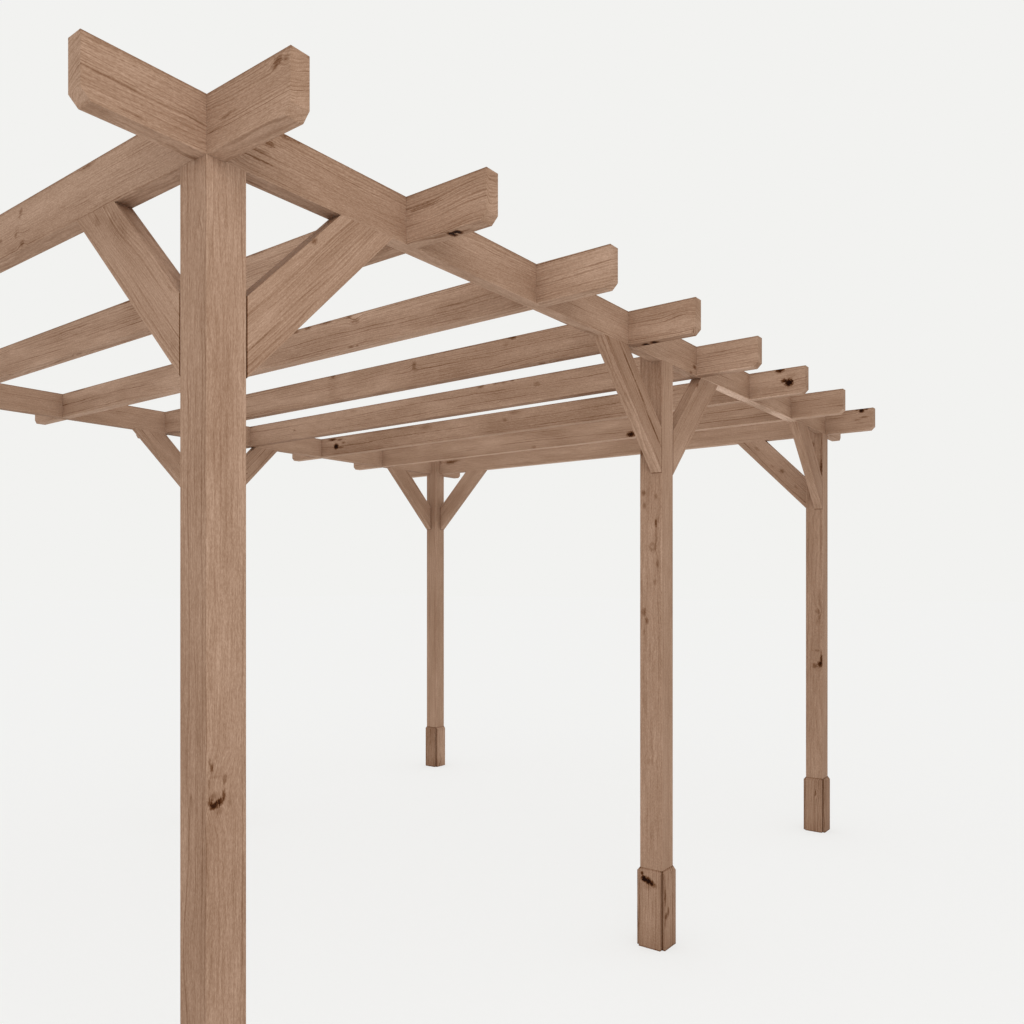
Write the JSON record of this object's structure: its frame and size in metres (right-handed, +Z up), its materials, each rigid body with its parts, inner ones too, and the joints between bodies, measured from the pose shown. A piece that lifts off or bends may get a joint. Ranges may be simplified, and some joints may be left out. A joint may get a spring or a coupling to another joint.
{
  "type": "timber pergola",
  "caption": "Free-standing rectangular timber pergola: notched square posts with boarded feet, braced to long side beams that carry a row of halved cross members.",
  "frame": {"origin": "on the ground, in the middle of the plan", "axes": "+X along the length from the front end to the back end, -Y the right side, +Z up"},
  "size_m": [4.612, 3.58, 2.41],
  "materials": {
    "post_timber": "matt stained softwood",
    "beam_timber": "matt stained softwood",
    "brace_timber": "matt stained softwood",
    "skirt_boards": "matt stained softwood"
  },
  "bodies": {
    "root": {"post_front_right": "post_timber", "skirt_front_right": "skirt_boards", "post_middle_right": "post_timber", "skirt_middle_right": "skirt_boards", "post_back_right": "post_timber", "skirt_back_right": "skirt_boards", "side_beam_right": "beam_timber", "brace_front_right_side": "brace_timber", "brace_front_right_end": "brace_timber", "brace_middle_right_front": "brace_timber", "brace_back_right_side": "brace_timber", "brace_back_right_end": "brace_timber", "brace_middle_right_back": "brace_timber", "post_front_left": "post_timber", "skirt_front_left": "skirt_boards", "post_middle_left": "post_timber", "skirt_middle_left": "skirt_boards", "post_back_left": "post_timber", "skirt_back_left": "skirt_boards", "side_beam_left": "beam_timber", "brace_front_left_side": "brace_timber", "brace_front_left_end": "brace_timber", "brace_middle_left_front": "brace_timber", "brace_back_left_side": "brace_timber", "brace_back_left_end": "brace_timber", "brace_middle_left_back": "brace_timber", "end_beam_front": "beam_timber", "end_beam_back": "beam_timber", "rafter_1": "beam_timber", "rafter_2": "beam_timber", "rafter_3": "beam_timber", "rafter_4": "beam_timber", "rafter_5": "beam_timber", "rafter_6": "beam_timber"}
  },
  "joints": []
}
